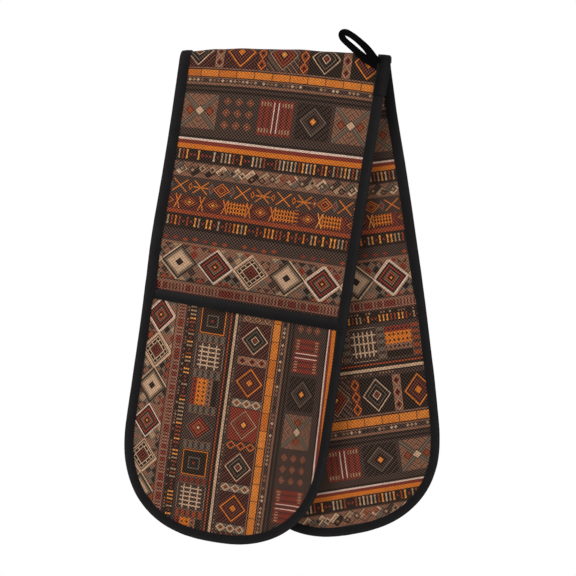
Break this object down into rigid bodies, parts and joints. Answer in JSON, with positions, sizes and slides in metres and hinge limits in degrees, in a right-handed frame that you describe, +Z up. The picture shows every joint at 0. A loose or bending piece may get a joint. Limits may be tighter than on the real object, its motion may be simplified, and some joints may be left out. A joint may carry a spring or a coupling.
{
  "type": "double oven glove",
  "caption": "Double oven glove: long padded cloth strip with a hand pocket at each rounded end, bound edges and a hanging loop, folded over a rail.",
  "frame": {"origin": "centre of the fold's inside, on the axis of the rail that the glove hangs over", "axes": "+Z up, +X along the fold and the rail to the viewer's right, -Y towards the viewer: the front half hangs at -Y and the back half at +Y"},
  "size_m": [0.2786, 0.064, 0.4539],
  "materials": {
    "printed_cloth": "matte cotton canvas printed with striped bands of small woven-style motifs across the strip",
    "printed_pocket_cloth": "the same printed canvas with its bands running along the strip",
    "lining_cloth": "matte printed canvas",
    "wadding": "soft off-white cotton wadding",
    "binding_tape": "matte black bias tape, fine weave",
    "thread": "black polyester sewing thread, slight sheen",
    "loop_tape": "matte black tape folded and sewn into a narrow strip"
  },
  "bodies": {
    "front_half": {"front_face_cloth": "printed_cloth", "front_lining": "lining_cloth", "front_wadding": "wadding", "front_pocket_cloth": "printed_pocket_cloth", "front_pocket_lining": "lining_cloth", "front_pocket_wadding": "wadding", "front_edge_binding": "binding_tape", "front_mouth_binding": "binding_tape", "front_edge_stitching": "thread", "front_mouth_stitching": "thread", "binding_join_tab": "binding_tape", "tab_stitching": "thread", "upper_loop_end": "loop_tape", "lower_loop_end": "loop_tape"},
    "back_half": {"back_face_cloth": "printed_cloth", "back_lining": "lining_cloth", "back_wadding": "wadding", "back_pocket_cloth": "printed_pocket_cloth", "back_pocket_lining": "lining_cloth", "back_pocket_wadding": "wadding", "back_edge_binding": "binding_tape", "back_mouth_binding": "binding_tape", "back_edge_stitching": "thread", "back_mouth_stitching": "thread"},
    "loop": {"hanging_loop": "loop_tape"}
  },
  "joints": [
    {"name": "fold", "type": "hinge", "parent": "front_half", "child": "back_half", "pos_m": [0, 0, 0.01461], "axis": [1, 0, 0], "range_deg": [0, 180]},
    {"name": "loop_swing", "type": "hinge", "parent": "front_half", "child": "loop", "pos_m": [0.07877, -0.0149, -0.00359], "axis": [0.1418, 0, 0.9899], "range_deg": [0, 120], "stiffness_Nm_per_rad": 0.0005}
  ]
}
